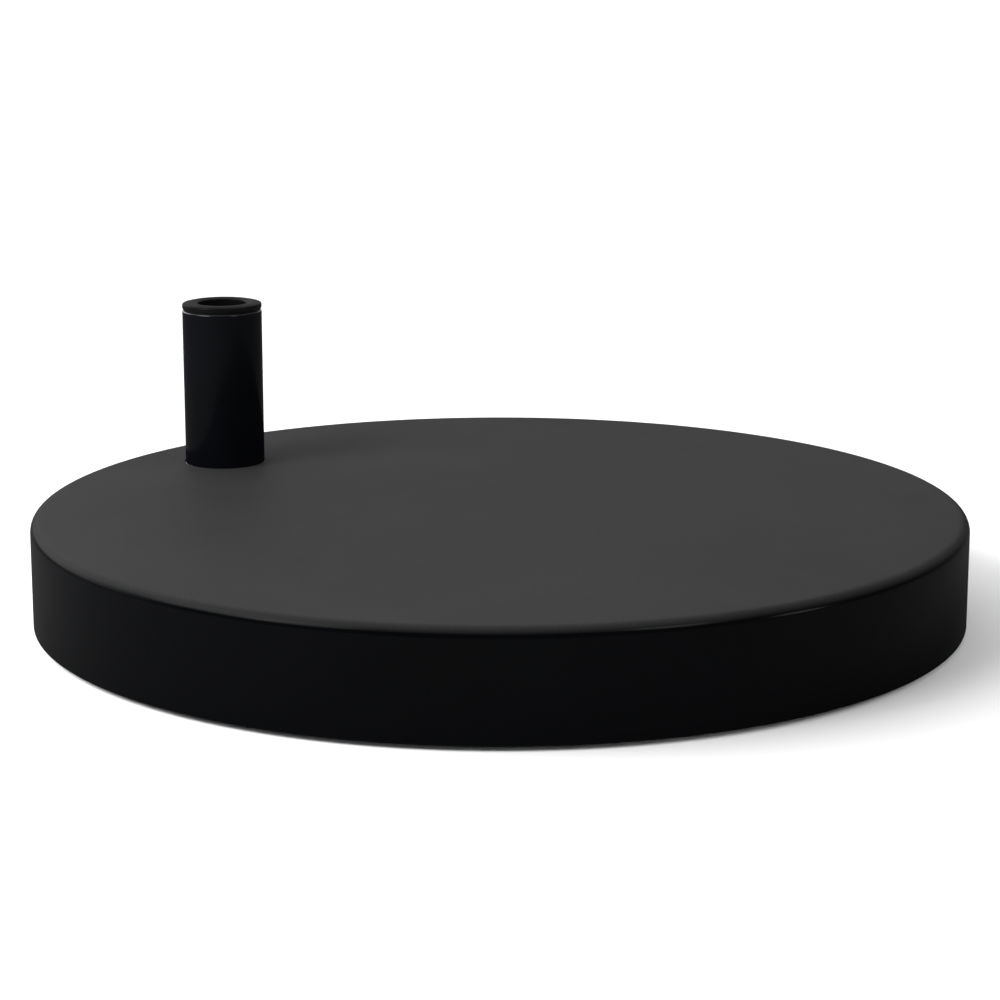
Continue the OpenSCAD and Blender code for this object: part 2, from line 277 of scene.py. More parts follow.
def rounded(corners, steps=6):
    """Closed outline of (radius, height) points, anticlockwise, from rows of (radius, height, fillet).

    A fillet's arc starts and ends at fillet / tan(half the corner's angle) from the corner. Its points are
    centre + fillet * (first * sin((1 - s) * turn) + last * sin(s * turn)) / sin(turn), with s from 0 to 1.
    Here first and last are the directions from the arc's centre to its ends. One more point on each side of
    an arc keeps the straight stretch beside it flat.
    """
    corners = np.array(corners, float)
    places, fillets = corners[:, :2], corners[:, 2]
    back = np.roll(places, 1, axis=0) - places
    ahead = np.roll(places, -1, axis=0) - places
    lengths = np.linalg.norm(ahead, axis=1)
    back, ahead = unit(back), unit(ahead)
    angles = np.arccos(np.clip((back * ahead).sum(1), -1, 1))
    tangents = fillets / np.tan(angles / 2)
    spare = (lengths - tangents - np.roll(tangents, -1)) / 4
    points = []
    for i, (place, fillet) in enumerate(zip(places, fillets)):
        if fillet == 0:
            points.append(place[None])
            continue
        centre = place + unit(back[i] + ahead[i]) * fillet / math.sin(angles[i] / 2)
        first = unit(place + back[i] * tangents[i] - centre)
        last = unit(place + ahead[i] * tangents[i] - centre)
        turn = math.pi - angles[i]
        s = np.linspace(0, 1, steps + 1)[:, None]
        arc = centre + fillet * (first * np.sin((1 - s) * turn) + last * np.sin(s * turn)) / math.sin(turn)
        before = arc[:1] + back[i] * min(fillet * 0.4, spare[i - 1])
        after = arc[-1:] + ahead[i] * min(fillet * 0.4, spare[i])
        points += [before, arc, after]
    return np.concatenate(points)


def turned(outline, count, centre=(0.0, 0.0)):
    """Rings of points: x = centre + radius * cos(angle), y = centre + radius * sin(angle), z = height."""
    angle = np.arange(count) * FULL_TURN / count
    return rings(outline[:, :1], outline[:, 1:2], angle, centre)


def rings(radius, height, angle, centre=(0.0, 0.0)):
    """The same for a radius, a height and a centre that may differ at every point of the grid."""
    x = centre[0] + radius * np.cos(angle)
    y = centre[1] + radius * np.sin(angle)
    return np.stack(np.broadcast_arrays(x, y, height + 0 * angle), axis=-1)


def hexagon_radius(flats, angle):
    """Distance from the centre to a hexagon's side: half the flats / cos(angle from the side's middle)."""
    sector = FULL_TURN / 6
    return flats / 2 / np.cos((angle + sector / 2) % sector - sector / 2)


def copies(points, angles, circle):
    """The points moved out to a circle's radius and turned about the upright axis to each angle."""
    moved = points + np.array([circle, 0, 0])
    result = []
    for a in angles:
        turn = np.array([[math.cos(a), math.sin(a), 0], [-math.sin(a), math.cos(a), 0], [0, 0, 1]])
        result.append(moved @ turn)
    return result


def laid_along_y(points, centre, height):
    """Turns points built about the upright axis so that up becomes +Y, at a height on the centre's axis."""
    x, y, z = np.moveaxis(points, -1, 0)
    return np.stack([centre[0] + x, centre[1] + z, height - y], axis=-1)


def ring_mesh(name, sheets):
    """A mesh from grids of rings: each ring is joined to the next, and the last ring to the first."""
    points, faces, start = [], [], 0
    for sheet in sheets:
        count, width = sheet.shape[:2]
        row = np.arange(count)[:, None] * width
        row_next = np.roll(row, -1, axis=0)
        column = np.arange(width)[None, :]
        column_next = np.roll(column, -1, axis=1)
        corners = [row + column, row + column_next, row_next + column_next, row_next + column]
        points.append(sheet.reshape(-1, 3))
        faces.append(np.stack(corners, axis=-1).reshape(-1, 4) + start)
        start += count * width
    mesh = bpy.data.meshes.new(name)
    mesh.from_pydata(np.concatenate(points).tolist(), [], np.concatenate(faces).tolist())
    clean_mesh(mesh)
    return mesh


def make_piece(name, sheets, body, nodes, material):
    """One piece from grids of rings, with its shading, material and body."""
    piece = bpy.data.objects.new(name, ring_mesh(name, sheets))
    bpy.context.scene.collection.objects.link(piece)
    finish_piece(piece, body, nodes, material)
    return piece


def clean_mesh(mesh):
    """Closes the poles, drops faces of no area and turns every face outwards."""
    form = bmesh.new()
    form.from_mesh(mesh)
    bmesh.ops.remove_doubles(form, verts=form.verts, dist=1e-6)
    bmesh.ops.dissolve_degenerate(form, edges=form.edges, dist=1e-7)
    wires = [e for e in form.edges if not e.link_faces]
    bmesh.ops.delete(form, geom=wires, context="EDGES")
    bmesh.ops.recalc_face_normals(form, faces=form.faces)
    form.to_mesh(mesh)
    form.free()


def shade(mesh):
    """Smooth shading, with the sharper edges kept sharp."""
    mesh.shade_smooth()
    mesh.set_sharp_from_angle(angle=SHARP_ANGLE)


def finish_piece(piece, body, nodes, material):
    """Shading, material and body of a finished piece."""
    shade(piece.data)
    piece.data.materials.clear()
    piece.data.materials.append(material)
    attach(piece, body)
    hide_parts(*nodes)


def dress(node, material):
    """Gives a CAD node's object a material in every slot."""
    thing = frame["nodes"][node]
    for slot in thing.material_slots:
        slot.material = material


# ---------------------------------------------------------------- shader node groups and materials


def fill_inputs(tree, node, values):
    """Sets a node's inputs to values, or joins them to other nodes' sockets."""
    for key, value in values.items():
        if isinstance(value, bpy.types.NodeSocket):
            tree.links.new(value, node.inputs[key])
        else:
            node.inputs[key].default_value = value


def add_node(tree, kind, values=None, **settings):
    """A node with its settings and its inputs."""
    node = tree.nodes.new(kind)
    for key, value in settings.items():
        setattr(node, key, value)
    fill_inputs(tree, node, values or {})
    return node


def calculate(tree, operation, first, second=0.0):
    """Result of a Math node."""
    return add_node(tree, "ShaderNodeMath", {0: first, 1: second}, operation=operation).outputs[0]


def blend_colours(tree, share, first, second):
    """A colour between two others."""
    node = add_node(tree, "ShaderNodeMix", data_type="RGBA")
    fill_inputs(tree, node, {0: share, 6: first, 7: second})
    return node.outputs[2]


def spread(tree, value, low, high, to_low, to_high):
    """A value taken from one range to another, and held at its ends."""
    values = {"Value": value, "From Min": low, "From Max": high, "To Min": to_low, "To Max": to_high}
    return add_node(tree, "ShaderNodeMapRange", values, clamp=True).outputs[0]


def noise(tree, place, scale, detail=2.0, roughness=0.5):
    """Grey noise with a pattern of 1 / scale metres."""
    values = {"Vector": place, "Scale": scale, "Detail": detail, "Roughness": roughness}
    return add_node(tree, "ShaderNodeTexNoise", values).outputs["Fac"]


def new_group(name, inputs, outputs):
    """An empty shader node group with named inputs and outputs; returns it with its two end nodes."""
    tree = bpy.data.node_groups.new(name, "ShaderNodeTree")
    for label, kind, default in inputs:
        socket = tree.interface.new_socket(label, in_out="INPUT", socket_type=kind)
        if default is not None:
            socket.default_value = default
    for label, kind in outputs:
        tree.interface.new_socket(label, in_out="OUTPUT", socket_type=kind)
    return tree, tree.nodes.new("NodeGroupInput"), tree.nodes.new("NodeGroupOutput")


def ripple_group():
    """Orange peel of a sprayed or moulded skin: broad noise with a share of noise four times finer."""
    tree, start, end = new_group(
        "Skin ripple",
        [
            ("Vector", "NodeSocketVector", None),
            ("Scale", "NodeSocketFloat", 500.0),
            ("Fine", "NodeSocketFloat", 0.25),
        ],
        [("Height", "NodeSocketFloat")],
    )
    broad = noise(tree, start.outputs["Vector"], start.outputs["Scale"], 1.0)
    fine_scale = calculate(tree, "MULTIPLY", start.outputs["Scale"], 4.0)
    fine = noise(tree, start.outputs["Vector"], fine_scale, 2.0)
    part = calculate(tree, "MULTIPLY", fine, start.outputs["Fine"])
    tree.links.new(calculate(tree, "ADD", broad, part), end.inputs["Height"])
    return tree


def patch_group():
    """Broad uneven patches, as handling and weather leave: noise spread between a low and a high value."""
    tree, start, end = new_group(
        "Uneven patches",
        [
            ("Vector", "NodeSocketVector", None),
            ("Scale", "NodeSocketFloat", 8.0),
            ("Low", "NodeSocketFloat", 0.0),
            ("High", "NodeSocketFloat", 1.0),
        ],
        [("Value", "NodeSocketFloat")],
    )
    cloud = noise(tree, start.outputs["Vector"], start.outputs["Scale"], 4.0, 0.55)
    value = spread(tree, cloud, 0.32, 0.68, start.outputs["Low"], start.outputs["High"])
    tree.links.new(value, end.inputs["Value"])
    return tree


def dust_and_sheen_group():
    """Settled dusty specks and painted sheen on faces that look up: fine specks, and a thin light-grey film
    that broad noise breaks up, which paints in the sheen that such faces catch.
    """
    tree, start, end = new_group(
        "Settled dust",
        [
            ("Vector", "NodeSocketVector", None),
            ("Film", "NodeSocketFloat", 0.02),
            ("Specks", "NodeSocketFloat", 0.1),
        ],
        [("Mask", "NodeSocketFloat")],
    )
    facing = add_node(tree, "ShaderNodeNewGeometry").outputs["Normal"]
    up = add_node(tree, "ShaderNodeSeparateXYZ", {0: facing}).outputs["Z"]
    upward = spread(tree, up, 0.4, 0.95, 0.0, 1.0)
    cloud = noise(tree, start.outputs["Vector"], 5.0, 5.0, 0.6)
    film = calculate(tree, "MULTIPLY", spread(tree, cloud, 0.35, 0.7, 0.85, 1.0), start.outputs["Film"])
    grains = noise(tree, start.outputs["Vector"], 900.0, 0.0)
    specks = calculate(tree, "MULTIPLY", spread(tree, grains, 0.76, 0.82, 0.0, 1.0), start.outputs["Specks"])
    total = calculate(tree, "ADD", film, specks)
    tree.links.new(calculate(tree, "MULTIPLY", total, upward), end.inputs["Mask"])
    return tree


def wear_group():
    """Rubbed edges: how far a rounded-off normal turns from the true one, broken up by noise."""
    tree, start, end = new_group(
        "Rubbed edges",
        [
            ("Vector", "NodeSocketVector", None),
            ("Width", "NodeSocketFloat", 0.001),
            ("Amount", "NodeSocketFloat", 0.3),
        ],
        [("Mask", "NodeSocketFloat")],
    )
    soft = add_node(tree, "ShaderNodeBevel", {"Radius": start.outputs["Width"]}, samples=4).outputs["Normal"]
    true = add_node(tree, "ShaderNodeNewGeometry").outputs["Normal"]
    same = add_node(tree, "ShaderNodeVectorMath", {0: soft, 1: true}, operation="DOT_PRODUCT")
    edge = spread(tree, same.outputs["Value"], 0.99, 0.8, 0.0, 1.0)
    broken = spread(tree, noise(tree, start.outputs["Vector"], 140.0, 4.0, 0.6), 0.42, 0.62, 0.15, 1.0)
    worn = calculate(tree, "MULTIPLY", calculate(tree, "MULTIPLY", edge, broken), start.outputs["Amount"])
    tree.links.new(worn, end.inputs["Mask"])
    return tree


def place_group(tree, builder, values):
    """A group node in a material, built the first time that it is asked for."""
    label = builder.__name__
    if label not in GROUPS:
        GROUPS[label] = builder()
    node = tree.nodes.new("ShaderNodeGroup")
    node.node_tree = GROUPS[label]
    fill_inputs(tree, node, values)
    return node.outputs[0]


def new_material(name, **constants):
    """A material with its shader's plain values set; returns it, its tree, the shader and the place."""
    material = bpy.data.materials.new(name)
    material.use_nodes = True
    tree = material.node_tree
    shader = tree.nodes["Principled BSDF"]
    for key, value in constants.items():
        shader.inputs[key.replace("_", " ")].default_value = value
    place = tree.nodes.new("ShaderNodeTexCoord").outputs["Object"]
    return material, tree, shader, place


def add_bump(tree, shader, height, depth):
    """Relief of a real depth in metres."""
    bump = add_node(tree, "ShaderNodeBump", {"Height": height, "Distance": depth})
    tree.links.new(bump.outputs["Normal"], shader.inputs["Normal"])


def opaque(colour, factor=1.0):
    """A colour with its alpha, made lighter or darker."""
    return (colour[0] * factor, colour[1] * factor, colour[2] * factor, 1.0)


def clear_layer(tree, shader, place, side, top, scale, depth):
    """Gloss and relief of a clear skin: rougher where it looks up, with patchy gloss and orange peel.

    Gives back how far the surface looks up, from -1 to 1.
    """
    facing = add_node(tree, "ShaderNodeNewGeometry").outputs["Normal"]
    up = add_node(tree, "ShaderNodeSeparateXYZ", {0: facing}).outputs["Z"]
    level = spread(tree, up, 0.5, 0.98, side, top)
    patches = spread(tree, noise(tree, place, 11.0, 4.0), 0.3, 0.7, -0.03, 0.03)
    tree.links.new(calculate(tree, "ADD", level, patches), shader.inputs["Coat Roughness"])
    peel = noise(tree, place, scale, 2.0)
    relief = add_node(tree, "ShaderNodeBump", {"Height": peel, "Distance": depth}).outputs["Normal"]
    tree.links.new(relief, shader.inputs["Normal"])
    tree.links.new(relief, shader.inputs["Coat Normal"])
    return up


def coat_material(name, finishes, painted_light_factor, rough, top, shine, lifted):
    """Black powder coat: orange peel, patchy gloss, a light-grey film on top that paints in the top's sheen
    with dusty specks, and faintly rubbed edges.

    The factor after the finishes makes the coat's colour lighter; above 1 it paints in light, as on the
    tube's paler copy of the coat. rough and top are the roughness of upright and level faces. shine is the
    clear layer's weight on upright faces. lifted is its weight where the surface looks up, and the two
    facings that the change lies between.
    """
    material, tree, shader, place = new_material(name, Specular_IOR_Level=0.0, Coat_IOR=1.5)
    tone = place_group(tree, patch_group, {"Vector": place, "Scale": 9.0, "Low": 0.0, "High": 1.0})
    # Painted light: the factor lightens the whole coat, for the tube's paler copy.
    colour = blend_colours(tree, tone, opaque(finishes.coat, 0.85 * painted_light_factor), opaque(finishes.coat, 1.2 * painted_light_factor))
    worn = place_group(tree, wear_group, {"Vector": place, "Width": 1.2 * MM, "Amount": 0.03})
    colour = blend_colours(tree, worn, colour, (0.1, 0.1, 0.102, 1.0))
    # Painted sheen: a light-grey film on faces that look up stands in for their sheen, with dusty specks.
    dust_and_sheen = place_group(tree, dust_and_sheen_group, {"Vector": place, "Film": 0.068, "Specks": 0.06})
    colour = blend_colours(tree, dust_and_sheen, colour, opaque(finishes.film))
    tree.links.new(colour, shader.inputs["Base Color"])
    gloss = place_group(tree, patch_group, {"Vector": place, "Scale": 14.0, "Low": 0.45, "High": 0.6})
    tree.links.new(gloss, shader.inputs["Roughness"])
    up = clear_layer(tree, shader, place, rough, top, 420.0, 0.02 * MM)
    weight = spread(tree, up, lifted[1], lifted[2], shine, lifted[0])
    tree.links.new(weight, shader.inputs["Coat Weight"])
    return material


def plastic_material(finishes):
    """Black moulded plastic: a fine spark-eroded grain and lightly rubbed edges."""
    material, tree, shader, place = new_material(
        "black_moulded_plastic", Specular_IOR_Level=0.0, Coat_Weight=finishes.coat_shine, Coat_IOR=1.5
    )
    worn = place_group(tree, wear_group, {"Vector": place, "Width": 0.8 * MM, "Amount": 0.2})
    colour = blend_colours(tree, worn, opaque(finishes.plastic), (0.02, 0.02, 0.021, 1.0))
    # Painted sheen: a faint light-grey film on faces that look up stands in for the flange top's sheen, with
    # dusty specks.
    dust_and_sheen = place_group(tree, dust_and_sheen_group, {"Vector": place, "Film": 0.006, "Specks": 0.1})
    colour = blend_colours(tree, dust_and_sheen, colour, opaque(finishes.film))
    tree.links.new(colour, shader.inputs["Base Color"])
    gloss = place_group(tree, patch_group, {"Vector": place, "Scale": 60.0, "Low": 0.4, "High": 0.55})
    tree.links.new(gloss, shader.inputs["Roughness"])
    clear_layer(tree, shader, place, 0.25, 0.32, 1500.0, 0.01 * MM)
    return material


def rubber_material(finishes):
    """Black rubber: dull, finely pitted and a little dusty."""
    material, tree, shader, place = new_material("black_rubber", IOR=1.45)
    tone = place_group(tree, patch_group, {"Vector": place, "Scale": 70.0, "Low": 0.0, "High": 1.0})
    colour = blend_colours(tree, tone, opaque(finishes.rubber, 0.8), opaque(finishes.rubber, 1.9))
    tree.links.new(colour, shader.inputs["Base Color"])
    gloss = place_group(tree, patch_group, {"Vector": place, "Scale": 45.0, "Low": 0.62, "High": 0.82})
    tree.links.new(gloss, shader.inputs["Roughness"])
    pits = place_group(tree, ripple_group, {"Vector": place, "Scale": 1100.0, "Fine": 0.8})
    add_bump(tree, shader, pits, 0.05 * MM)
    return material


def galvanised_material(finishes):
    """Hot-dip galvanised sheet: crystal spangle in tone and gloss, with dull weathered patches."""
    material, tree, shader, place = new_material("galvanised_sheet", Metallic=1.0)
    warp = add_node(tree, "ShaderNodeTexNoise", {"Vector": place, "Scale": 60.0, "Detail": 2.0})
    reach_of_warp = {0: warp.outputs["Color"], 1: (0.006, 0.006, 0.006)}
    shift = add_node(tree, "ShaderNodeVectorMath", reach_of_warp, operation="MULTIPLY")
    moved = add_node(tree, "ShaderNodeVectorMath", {0: place, 1: shift.outputs[0]}, operation="ADD")
    crystals = add_node(
        tree, "ShaderNodeTexVoronoi", {"Vector": moved.outputs[0], "Scale": 95.0}, feature="F1"
    )
    flake = add_node(tree, "ShaderNodeSeparateColor", {0: crystals.outputs["Color"]}).outputs[0]
    colour = blend_colours(tree, flake, opaque(finishes.galvanised, 0.72), opaque(finishes.galvanised, 1.22))
    dull = place_group(tree, patch_group, {"Vector": place, "Scale": 7.0, "Low": 0.0, "High": 0.5})
    colour = blend_colours(tree, dull, colour, opaque(finishes.galvanised, 0.62))
    tree.links.new(colour, shader.inputs["Base Color"])
    gloss = spread(tree, flake, 0.0, 1.0, 0.34, 0.5)
    dulled = calculate(tree, "ADD", gloss, calculate(tree, "MULTIPLY", dull, 0.25))
    tree.links.new(dulled, shader.inputs["Roughness"])
    add_bump(tree, shader, flake, 0.015 * MM)
    return material


def plated_material(name, colour_low, colour_high, roughness):
    """Plated or blackened steel: faint drawn lines, patchy gloss and bright rubbed edges."""
    material, tree, shader, place = new_material(name, Metallic=1.0)
    tone = place_group(tree, patch_group, {"Vector": place, "Scale": 90.0, "Low": 0.0, "High": 1.0})
    colour = blend_colours(tree, tone, colour_low, colour_high)
    worn = place_group(tree, wear_group, {"Vector": place, "Width": 0.4 * MM, "Amount": 0.5})
    colour = blend_colours(tree, worn, colour, (0.75, 0.75, 0.74, 1.0))
    tree.links.new(colour, shader.inputs["Base Color"])
    range_of_gloss = {"Low": roughness - 0.07, "High": roughness + 0.09}
    gloss = place_group(tree, patch_group, {"Vector": place, "Scale": 160.0, **range_of_gloss})
    tree.links.new(gloss, shader.inputs["Roughness"])
    lines = place_group(tree, ripple_group, {"Vector": place, "Scale": 2200.0, "Fine": 0.6})
    add_bump(tree, shader, lines, 0.012 * MM)
    return material


def primer_material():
    """Grey primer over hot-rolled plate: dull, with mill texture and darker stains."""
    material, tree, shader, place = new_material("grey_primer")
    stain = place_group(tree, patch_group, {"Vector": place, "Scale": 30.0, "Low": 0.0, "High": 1.0})
    colour = blend_colours(tree, stain, (0.045, 0.045, 0.047, 1.0), (0.075, 0.075, 0.077, 1.0))
    tree.links.new(colour, shader.inputs["Base Color"])
    gloss = place_group(tree, patch_group, {"Vector": place, "Scale": 50.0, "Low": 0.5, "High": 0.68})
    tree.links.new(gloss, shader.inputs["Roughness"])
    mill = place_group(tree, ripple_group, {"Vector": place, "Scale": 700.0, "Fine": 0.5})
    add_bump(tree, shader, mill, 0.06 * MM)
    return material


def concrete_material(finishes):
    """Cast concrete: cement paste, sand and stones in the tone, and air holes in the relief."""
    material, tree, shader, place = new_material("cast_concrete")
    tone = place_group(tree, patch_group, {"Vector": place, "Scale": 12.0, "Low": 0.0, "High": 1.0})
    colour = blend_colours(tree, tone, opaque(finishes.concrete, 0.8), opaque(finishes.concrete, 1.15))
    stones = add_node(tree, "ShaderNodeTexVoronoi", {"Vector": place, "Scale": 140.0}, feature="F1")
    grain = spread(tree, stones.outputs["Distance"], 0.1, 0.55, 0.25, 0.0)
    colour = blend_colours(tree, grain, colour, stones.outputs["Color"])
    sand = noise(tree, place, 900.0, 2.0)
    dark_sand = spread(tree, sand, 0.4, 0.7, 0.0, 0.35)
    colour = blend_colours(tree, dark_sand, colour, opaque(finishes.concrete, 0.55))
    tree.links.new(colour, shader.inputs["Base Color"])
    tree.links.new(spread(tree, sand, 0.3, 0.7, 0.8, 0.95), shader.inputs["Roughness"])
    bubbles = add_node(tree, "ShaderNodeTexVoronoi", {"Vector": place, "Scale": 75.0}, feature="F1")
    holes = spread(tree, bubbles.outputs["Distance"], 0.08, 0.16, 0.0, 1.0)
    relief = calculate(tree, "ADD", holes, calculate(tree, "MULTIPLY", sand, 0.5))
    add_bump(tree, shader, relief, 0.4 * MM)
    return material


def foam_material():
    """Grey closed-cell foam: small cells in relief, with painted shade darkening their pits."""
    material, tree, shader, place = new_material("grey_foam", IOR=1.3)
    cells = add_node(tree, "ShaderNodeTexVoronoi", {"Vector": place, "Scale": 1300.0}, feature="F1")
    depth = spread(tree, cells.outputs["Distance"], 0.0, 0.6, 1.0, 0.0)
    # Painted shade: colour darkens where the cells' relief sinks into pits.
    colour = blend_colours(tree, depth, (0.07, 0.07, 0.08, 1.0), (0.035, 0.035, 0.042, 1.0))
    tree.links.new(colour, shader.inputs["Base Color"])
    gloss = place_group(tree, patch_group, {"Vector": place, "Scale": 40.0, "Low": 0.8, "High": 0.92})
    tree.links.new(gloss, shader.inputs["Roughness"])
    add_bump(tree, shader, calculate(tree, "SUBTRACT", 1.0, depth), 0.15 * MM)
    return material


def nylon_material():
    """Natural nylon: ivory, waxy and slightly cloudy."""
    material, tree, shader, place = new_material(
        "natural_nylon", Subsurface_Weight=0.15, Subsurface_Scale=1 * MM
    )
    cloud = place_group(tree, patch_group, {"Vector": place, "Scale": 120.0, "Low": 0.0, "High": 1.0})
    colour = blend_colours(tree, cloud, (0.62, 0.58, 0.49, 1.0), (0.74, 0.71, 0.63, 1.0))
    tree.links.new(colour, shader.inputs["Base Color"])
    gloss = place_group(tree, patch_group, {"Vector": place, "Scale": 200.0, "Low": 0.35, "High": 0.5})
    tree.links.new(gloss, shader.inputs["Roughness"])
    skin = place_group(tree, ripple_group, {"Vector": place, "Scale": 1400.0, "Fine": 0.4})
    add_bump(tree, shader, skin, 0.02 * MM)
    return material


def floor_material(colour):
    """Pale matt studio floor with a barely uneven tone."""
    material, tree, shader, place = new_material("pale_floor", IOR=1.2)
    tone = place_group(tree, patch_group, {"Vector": place, "Scale": 1.5, "Low": 0.0, "High": 1.0})
    mixed = blend_colours(tree, tone, opaque(colour, 0.985), opaque(colour))
    tree.links.new(mixed, shader.inputs["Base Color"])
    tree.links.new(spread(tree, tone, 0.0, 1.0, 0.85, 0.95), shader.inputs["Roughness"])
    return material


# ---------------------------------------------------------------- pieces


def thread_wave(height, pitch, angle):
    """1 at a thread's crest and 0 at its root: |2 * frac(height / pitch - angle / full turn) - 1|."""
    return np.abs(2 * ((height / pitch - angle / FULL_TURN) % 1) - 1)


def threaded(radius, pitch, low, high):
    """Helical screw thread about the upright axis, closed at both ends.

    Its radius is crest - 0.61 * pitch * (1 - wave * ease). The ease brings the thread down to its root over
    the first and last half pitch. The last ring at each end is drawn in to the axis.
    """
    count, rings_a_turn = 48, 10
    angle = np.arange(count) * FULL_TURN / count
    steps = max(8, int((high - low) / pitch * rings_a_turn))
    height = np.linspace(low, high, steps + 1)[:, None]
    wave = thread_wave(height, pitch, angle)
    ease = np.clip(np.minimum(height - low, high - height) / (0.5 * pitch), 0, 1)
    around = radius - 0.61 * pitch * (1 - wave * ease)
    body = rings(np.minimum(around, radius), height, angle)
    caps = [rings(np.zeros((1, 1)), np.full((1, 1), z), angle) for z in (low, high)]
    return np.concatenate([caps[0], body, caps[1]])


def key_socket_end(flats, depth, height, count, sign):
    """Rings of a hexagon socket sunk from a face: its mouth, its wall's foot and the drill point."""
    angle = np.arange(count) * FULL_TURN / count
    wall = hexagon_radius(flats, angle)[None]
    mouth = rings(wall, np.full((1, 1), height), angle)
    foot = rings(wall, np.full((1, 1), height - sign * depth), angle)
    point = rings(np.zeros((1, 1)), np.full((1, 1), height - sign * (depth + flats * 0.2)), angle)
    return mouth, foot, point


class PARASOL_OT_cover(bpy.types.Operator):
    """Build the pressed steel cover with its rounded edge and the tube's hole"""

    bl_idname = "parasol.cover"
    bl_label = "Cover"

    def execute(self, context):
        sizes = context.scene.parasol_cover
        sheet, edge, lip = sizes.sheet, sizes.top_round, sizes.hole_lip
        hole = TUBE_R + sizes.hole_gap
        under = DISC_TOP - sheet
        outline = rounded(
            [
                (DISC_R - sheet, SKIRT_LOW, 0.4 * MM),
                (DISC_R, SKIRT_LOW, 0.7 * MM),
                (DISC_R, DISC_TOP, edge),
                (hole, DISC_TOP, lip),
                (hole, under, 0),
                (DISC_R - sheet, under, edge - sheet / 2),
            ],
            steps=10,
        )
        flat_r = DISC_R - edge * 1.4
        share = np.clip((flat_r - outline[:, :1]) / (flat_r - hole), 0, 1)
        share = np.where(outline[:, :1] < hole + lip * 1.2, 1.0, share)
        angle = np.arange(sizes.segments) * FULL_TURN / sizes.segments
        centre = (SOCKET[0] * share, SOCKET[1] * share)
        sheet_rings = rings(outline[:, :1], outline[:, 1:2], angle, centre)
        make_piece("cover", [sheet_rings], "base", ["cover_shell"], MATERIALS["coat"])
        return {"FINISHED"}


class PARASOL_OT_socket_tube(bpy.types.Operator):
    """Build the socket tube and drill the two tapped holes for its clamp screws"""

    bl_idname = "parasol.socket_tube"
    bl_label = "Socket tube"

    def execute(self, context):
        sizes = context.scene.parasol_socket
        bore = TUBE_R - sizes.wall
        outline = rounded(
            [
                (bore, TUBE_LOW[2], 0.3 * MM),
                (TUBE_R, TUBE_LOW[2], 0.3 * MM),
                (TUBE_R, TUBE_HIGH[2], sizes.rim),
                (bore, TUBE_HIGH[2], 0.4 * MM),
            ]
        )
        body = turned(outline, 192, SOCKET)
        finish = MATERIALS["tube_coat"]
        tube = make_piece("tube", [body], "base", ["socket_tube"], finish)
        inner, outer = bore / 2, TUBE_R * 1.5
        drill = np.array([(0, inner), (TAPPED_R, inner), (TAPPED_R, outer), (0, outer)])
        heights = [(low[2] + high[2]) / 2 for low, high in CLAMP_BOXES]
        drills = [laid_along_y(turned(drill, 64), SOCKET, z) for z in heights]
        drill_out(tube, drills)
        return {"FINISHED"}


def drill_out(piece, sheets):
    """Cuts closed sheets of rings out of a piece and keeps the result as its mesh."""
    cutter = bpy.data.objects.new("cutter", ring_mesh("cutter", sheets))
    bpy.context.scene.collection.objects.link(cutter)
    cut = piece.modifiers.new("holes", "BOOLEAN")
    cut.operation, cut.solver, cut.object = "DIFFERENCE", "EXACT", cutter
    whole = piece.evaluated_get(bpy.context.evaluated_depsgraph_get())
    drilled = bpy.data.meshes.new_from_object(whole)
    piece.modifiers.clear()
    piece.data = drilled
    bpy.data.objects.remove(cutter)
    shade(drilled)


class PARASOL_OT_upper_bush(bpy.types.Operator):
    """Build the lift-out pole bush: flange, neck and slotted spigot"""

    bl_idname = "parasol.upper_bush"
    bl_label = "Upper bush"

    def execute(self, context):
        sizes = context.scene.parasol_socket
        spigot = TUBE_R - sizes.wall - 0.1 * MM
        low, top = BUSH_LOW[2], BUSH_HIGH[2]
        seat = top - sizes.flange - sizes.neck
        slot_top = low + (seat - low) * 0.7
        outline = rounded(
            [
                (BORE_R, low, 0.8 * MM),
                (spigot, low, 0.8 * MM),
                (spigot, slot_top, 0),
                (spigot, seat, 0),
                (TUBE_R - sizes.neck_depth, seat, 0.2 * MM),
                (TUBE_R - sizes.neck_depth, top - sizes.flange, 0),
                (TUBE_R, top - sizes.flange, 0.4 * MM),
                (TUBE_R, top - sizes.crown, sizes.rim),
                *crowned(TUBE_R - sizes.rim, BORE_R + sizes.mouth, top, sizes.crown),
                (BORE_R, top - sizes.crown, sizes.mouth),
                (BORE_R, slot_top, 0),
            ],
            steps=8,
        )
        step_width = math.radians(0.05)
        half = math.asin(sizes.slot_width / 2 / spigot)
        quarter = np.linspace(half, FULL_TURN / 4 - half, 40)
        across = np.linspace(half - step_width, step_width - half, 5)[::-1]
        one = np.concatenate([across, quarter])
        angle = np.concatenate([one + k * FULL_TURN / 4 for k in range(4)])
        in_slot = np.tile(np.concatenate([np.ones(5), np.zeros(40)]), 4).astype(bool)
        height = np.where(in_slot, np.maximum(outline[:, 1:2], slot_top), outline[:, 1:2])
        radius = outline[:, :1]
        ring_set = rings(radius + 0 * angle, height, angle, SOCKET)
        plastic = MATERIALS["plastic"]
        make_piece("upper_pole_bush", [ring_set], "upper_bush", ["upper_bush"], plastic)
        dress("lower_bush", plastic)
        return {"FINISHED"}


